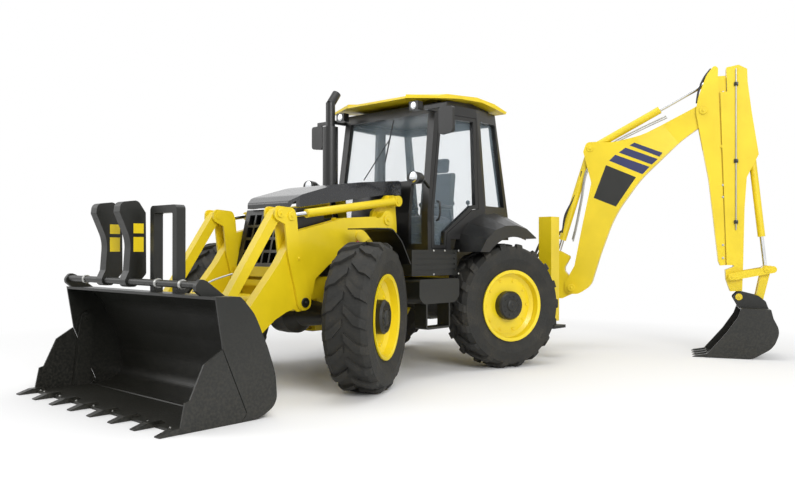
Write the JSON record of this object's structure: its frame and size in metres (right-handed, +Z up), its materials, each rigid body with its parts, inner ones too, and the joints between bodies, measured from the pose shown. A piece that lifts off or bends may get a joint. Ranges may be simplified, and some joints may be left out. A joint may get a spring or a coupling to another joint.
{
  "type": "backhoe loader",
  "caption": "Four-wheel-steer backhoe loader with a clamshell loader bucket, pallet forks, glazed cab and a side-shift digger arm.",
  "frame": {"origin": "on the underside of the loader bucket's jaw floor, on the machine's centreline, where it rests on the ground", "axes": "+Z up, +Y along the machine from the loader bucket back to the digger, +X towards the machine's left-hand side"},
  "size_m": [4.4476, 7.3536, 3.4674],
  "materials": {
    "yellow_paint": "semi-gloss warm yellow paint",
    "rim_yellow": "gloss yellow paint",
    "dark_paint": "satin dark olive grey paint",
    "satin_black": "satin black",
    "gloss_black": "gloss black moulded cover",
    "chrome": "polished cylinder rod",
    "cast_iron": "rough casting",
    "tyre": "matte rubber",
    "glass": "lightly tinted",
    "plastic": "greenish grey trim"
  },
  "bodies": {
    "chassis": {"main_frame": "yellow_paint", "engine_block": "cast_iron", "axles": "dark_paint", "grille_guard": "satin_black", "exhaust_stack": "satin_black", "cab_frame": "satin_black", "cab_roof": "yellow_paint", "cab_glass": "glass", "cab_interior": "plastic", "fenders": "satin_black", "side_bodywork": "dark_paint", "lamps_and_mirrors": "satin_black", "rear_frame": "yellow_paint"},
    "hood": {"hood": "gloss_black"},
    "door_left": {"door_left": "satin_black", "door_glass_left": "glass"},
    "door_right": {"door_right": "satin_black", "door_glass_right": "glass"},
    "loader_arms": {"loader_arms": "yellow_paint"},
    "lever_pins": {"lever_pins": "yellow_paint"},
    "tilt_levers": {"tilt_levers": "yellow_paint"},
    "link_pins": {"link_pins": "yellow_paint"},
    "tilt_links": {"tilt_links": "yellow_paint"},
    "bucket_pins": {"bucket_pins": "dark_paint"},
    "bucket": {"bucket_back": "dark_paint", "bucket_lugs": "dark_paint"},
    "bucket_jaw": {"bucket_jaw": "dark_paint"},
    "pallet_forks": {"pallet_forks": "dark_paint"},
    "lift_barrels": {"lift_barrels": "yellow_paint"},
    "lift_rods": {"lift_rods": "chrome"},
    "tilt_barrels": {"tilt_barrels": "yellow_paint"},
    "tilt_rods": {"tilt_rods": "chrome"},
    "carriage": {"carriage": "dark_paint"},
    "swing_post": {"swing_post": "yellow_paint"},
    "boom": {"boom": "yellow_paint"},
    "dipper": {"dipper": "yellow_paint"},
    "dipper_slide": {"dipper_slide": "yellow_paint"},
    "dig_bucket": {"dig_bucket": "dark_paint"},
    "guide_levers": {"guide_levers": "yellow_paint"},
    "bucket_link": {"bucket_link": "yellow_paint"},
    "boom_cylinder_barrel": {"boom_cylinder_barrel": "yellow_paint"},
    "boom_cylinder_rod": {"boom_cylinder_rod": "chrome"},
    "dipper_cylinder_barrel": {"dipper_cylinder_barrel": "yellow_paint"},
    "dipper_cylinder_rod": {"dipper_cylinder_rod": "chrome"},
    "dig_cylinder_barrel": {"dig_cylinder_barrel": "yellow_paint"},
    "dig_cylinder_rod": {"dig_cylinder_rod": "chrome"},
    "stabilizer_left": {"stabilizer_left": "dark_paint"},
    "stabilizer_right": {"stabilizer_right": "dark_paint"},
    "knuckle_front_left": {"knuckle_front_left": "dark_paint"},
    "wheel_front_left": {"tyre_front_left": "tyre", "rim_front_left": "rim_yellow"},
    "knuckle_front_right": {"knuckle_front_right": "dark_paint"},
    "wheel_front_right": {"tyre_front_right": "tyre", "rim_front_right": "rim_yellow"},
    "knuckle_rear_left": {"knuckle_rear_left": "dark_paint"},
    "wheel_rear_left": {"tyre_rear_left": "tyre", "rim_rear_left": "rim_yellow"},
    "knuckle_rear_right": {"knuckle_rear_right": "dark_paint"},
    "wheel_rear_right": {"tyre_rear_right": "tyre", "rim_rear_right": "rim_yellow"}
  },
  "joints": [
    {"name": "steer_front_left", "type": "hinge", "parent": "chassis", "child": "knuckle_front_left", "pos_m": [0.8, 1.71, 0.664], "axis": [0, 0, 1], "range_deg": [-51, 4]},
    {"name": "spin_front_left", "type": "hinge", "parent": "knuckle_front_left", "child": "wheel_front_left", "pos_m": [0.96178, 1.78891, 0.664], "axis": [0.8988, 0.4384, 0], "continuous": true},
    {"name": "steer_front_right", "type": "hinge", "parent": "chassis", "child": "knuckle_front_right", "pos_m": [-0.8, 1.71, 0.664], "axis": [0, 0, 1], "range_deg": [-43.16, 3.4]},
    {"name": "spin_front_right", "type": "hinge", "parent": "knuckle_front_right", "child": "wheel_front_right", "pos_m": [-0.96689, 1.64257, 0.664], "axis": [-0.9272, -0.3746, 0], "continuous": true},
    {"name": "steer_rear_left", "type": "hinge", "parent": "chassis", "child": "knuckle_rear_left", "pos_m": [0.8, 3.91, 0.664], "axis": [0, 0, 1], "range_deg": [-7, 43]},
    {"name": "spin_rear_left", "type": "hinge", "parent": "knuckle_rear_left", "child": "wheel_rear_left", "pos_m": [0.97119, 3.85438, 0.664], "axis": [0.9511, -0.309, 0], "continuous": true},
    {"name": "steer_rear_right", "type": "hinge", "parent": "chassis", "child": "knuckle_rear_right", "pos_m": [-0.8, 3.91, 0.664], "axis": [0, 0, 1], "range_deg": [-6.04, 37.04]},
    {"name": "spin_rear_right", "type": "hinge", "parent": "knuckle_rear_right", "child": "wheel_rear_right", "pos_m": [-0.97345, 3.9581, 0.664], "axis": [-0.9636, 0.2672, 0], "continuous": true},
    {"name": "hood_lift", "type": "hinge", "parent": "chassis", "child": "hood", "pos_m": [0, 1.46, 1.64], "axis": [1, 0, 0], "range_deg": [0, 50]},
    {"name": "door_left_swing", "type": "hinge", "parent": "chassis", "child": "door_left", "pos_m": [0.7, 2.97, 1.9], "axis": [0, 0, -1], "range_deg": [0, 65]},
    {"name": "door_right_swing", "type": "hinge", "parent": "chassis", "child": "door_right", "pos_m": [-0.7, 2.97, 1.9], "axis": [0, 0, 1], "range_deg": [0, 65]},
    {"name": "lift", "type": "hinge", "parent": "chassis", "child": "loader_arms", "pos_m": [0, 2.53, 1.555], "axis": [-1, 0, 0], "range_deg": [-4, 88]},
    {"name": "lever_follow", "type": "hinge", "parent": "loader_arms", "child": "lever_pins", "pos_m": [0, 1.428, 0.786], "axis": [-1, 0, 0], "range_deg": [-27.33, 1.26]},
    {"name": "lever_tilt", "type": "hinge", "parent": "lever_pins", "child": "tilt_levers", "pos_m": [0, 1.428, 0.786], "axis": [-1, 0, 0], "range_deg": [-17.92, 13.62]},
    {"name": "link_follow", "type": "hinge", "parent": "tilt_levers", "child": "link_pins", "pos_m": [0, 1.145, 1.575], "axis": [-1, 0, 0], "range_deg": [-0.95, 20.52]},
    {"name": "link_tilt", "type": "hinge", "parent": "link_pins", "child": "tilt_links", "pos_m": [0, 1.145, 1.575], "axis": [-1, 0, 0], "range_deg": [-13, 17.09]},
    {"name": "bucket_follow", "type": "hinge", "parent": "loader_arms", "child": "bucket_pins", "pos_m": [0, 0.665, 0.395], "axis": [-1, 0, 0], "range_deg": [-68.29, 3.12]},
    {"name": "bucket_tilt", "type": "hinge", "parent": "bucket_pins", "child": "bucket", "pos_m": [0, 0.665, 0.395], "axis": [-1, 0, 0], "range_deg": [-50, 38]},
    {"name": "jaw_open", "type": "hinge", "parent": "bucket", "child": "bucket_jaw", "pos_m": [0, 0.223, 0.632], "axis": [-1, 0, 0], "range_deg": [0, 52]},
    {"name": "forks_fold", "type": "hinge", "parent": "bucket", "child": "pallet_forks", "pos_m": [0, 0.04, 1], "axis": [-1, 0, 0], "range_deg": [-165, 0]},
    {"name": "lift_barrel_swing", "type": "hinge", "parent": "chassis", "child": "lift_barrels", "pos_m": [0, 2.41, 0.47], "axis": [-1, 0, 0], "range_deg": [-0.58, 12.29]},
    {"name": "lift_rod_slide", "type": "slide", "parent": "lift_barrels", "child": "lift_rods", "axis": [0, -0.2912, 0.9567], "range_m": [-0.02573, 0.55557]},
    {"name": "tilt_barrel_swing", "type": "hinge", "parent": "chassis", "child": "tilt_barrels", "pos_m": [0, 2.714, 1.755], "axis": [-1, 0, 0], "range_deg": [-3.67, 80.4]},
    {"name": "tilt_rod_slide", "type": "slide", "parent": "tilt_barrels", "child": "tilt_rods", "axis": [0, -0.9905, -0.1379], "range_m": [-0.18289, 0.24048]},
    {"name": "side_shift", "type": "slide", "parent": "chassis", "child": "carriage", "axis": [1, 0, 0], "range_m": [-0.886, 0.114]},
    {"name": "slew", "type": "hinge", "parent": "carriage", "child": "swing_post", "pos_m": [0.386, 5.555, 0.783], "axis": [0, 0, 1], "range_deg": [-23, 157]},
    {"name": "boom_lift", "type": "hinge", "parent": "swing_post", "child": "boom", "pos_m": [0.77233, 5.71978, 0.783], "axis": [0.3923, -0.9198, 0], "range_deg": [-70, 22]},
    {"name": "dipper_crowd", "type": "hinge", "parent": "boom", "child": "dipper", "pos_m": [2.20173, 6.32947, 2.942], "axis": [-0.3923, 0.9198, 0], "range_deg": [-92, 28]},
    {"name": "dipper_extend", "type": "slide", "parent": "dipper", "child": "dipper_slide", "axis": [0.0324, 0.0138, -0.9994], "range_m": [0, 1.1]},
    {"name": "dig_bucket_curl", "type": "hinge", "parent": "dipper_slide", "child": "dig_bucket", "pos_m": [2.5623, 6.48327, 0.706], "axis": [0.3923, -0.9198, 0], "range_deg": [-95, 75]},
    {"name": "guide_follow", "type": "hinge", "parent": "dipper_slide", "child": "guide_levers", "pos_m": [2.49239, 6.45345, 0.945], "axis": [0.3923, -0.9198, 0], "range_deg": [-58.92, 46.52]},
    {"name": "link_follow_dig", "type": "hinge", "parent": "guide_levers", "child": "bucket_link", "pos_m": [2.83732, 6.60058, 1.033], "axis": [0.3923, -0.9198, 0], "range_deg": [-33.02, 41.82]},
    {"name": "boom_barrel_swing", "type": "hinge", "parent": "boom", "child": "boom_cylinder_barrel", "pos_m": [0.97837, 5.80767, 2.54], "axis": [0.3923, -0.9198, 0], "range_deg": [-4.41, 1.4]},
    {"name": "boom_rod_slide", "type": "slide", "parent": "boom_cylinder_barrel", "child": "boom_cylinder_rod", "axis": [-0.2699, -0.1151, -0.956], "range_m": [-0.12913, 0.40978]},
    {"name": "dipper_barrel_swing", "type": "hinge", "parent": "boom", "child": "dipper_cylinder_barrel", "pos_m": [0.97837, 5.80767, 2.54], "axis": [0.3923, -0.9198, 0], "range_deg": [-1.42, 4.62]},
    {"name": "dipper_rod_slide", "type": "slide", "parent": "dipper_cylinder_barrel", "child": "dipper_cylinder_rod", "axis": [0.808, 0.3447, 0.4778], "range_m": [-0.57855, 0.17643]},
    {"name": "dig_barrel_swing", "type": "hinge", "parent": "dipper_slide", "child": "dig_cylinder_barrel", "pos_m": [2.69935, 6.54173, 2.416], "axis": [0.3923, -0.9198, 0], "range_deg": [-0.395, 0.495]},
    {"name": "dig_rod_slide", "type": "slide", "parent": "dig_cylinder_barrel", "child": "dig_cylinder_rod", "axis": [0.0992, 0.0423, -0.9942], "range_m": [-0.2623, 0.33211]},
    {"name": "stabilizer_left_down", "type": "slide", "parent": "chassis", "child": "stabilizer_left", "axis": [0, 0, -1], "range_m": [0, 0.55]},
    {"name": "stabilizer_right_down", "type": "slide", "parent": "chassis", "child": "stabilizer_right", "axis": [0, 0, -1], "range_m": [0, 0.55]}
  ],
  "couplings": [
    {"joint": "steer_front_right", "follows": "steer_front_left", "ratio": 0.84615},
    {"joint": "steer_rear_right", "follows": "steer_rear_left", "ratio": 0.86111},
    {"joint": "lever_follow", "follows": "lift", "ratio": -0.3103},
    {"joint": "lever_tilt", "follows": "bucket_tilt", "ratio": 0.358},
    {"joint": "link_follow", "follows": "lift", "ratio": 0.2329},
    {"joint": "link_tilt", "follows": "bucket_tilt", "ratio": -0.3415},
    {"joint": "bucket_follow", "follows": "lift", "ratio": -0.7758},
    {"joint": "lift_barrel_swing", "follows": "lift", "ratio": 0.1394},
    {"joint": "lift_rod_slide", "follows": "lift", "m_per_rad": 0.3614},
    {"joint": "tilt_barrel_swing", "follows": "lift", "ratio": 0.9134},
    {"joint": "tilt_rod_slide", "follows": "bucket_tilt", "m_per_rad": -0.275},
    {"joint": "guide_follow", "follows": "dig_bucket_curl", "ratio": 0.62},
    {"joint": "link_follow_dig", "follows": "dig_bucket_curl", "ratio": -0.44},
    {"joint": "boom_barrel_swing", "follows": "boom_lift", "ratio": 0.0627},
    {"joint": "boom_rod_slide", "follows": "boom_lift", "m_per_rad": -0.335},
    {"joint": "dipper_barrel_swing", "follows": "dipper_crowd", "ratio": -0.05},
    {"joint": "dipper_rod_slide", "follows": "dipper_crowd", "m_per_rad": 0.36},
    {"joint": "dig_barrel_swing", "follows": "dig_bucket_curl", "ratio": -0.005},
    {"joint": "dig_rod_slide", "follows": "dig_bucket_curl", "m_per_rad": -0.2}
  ]
}
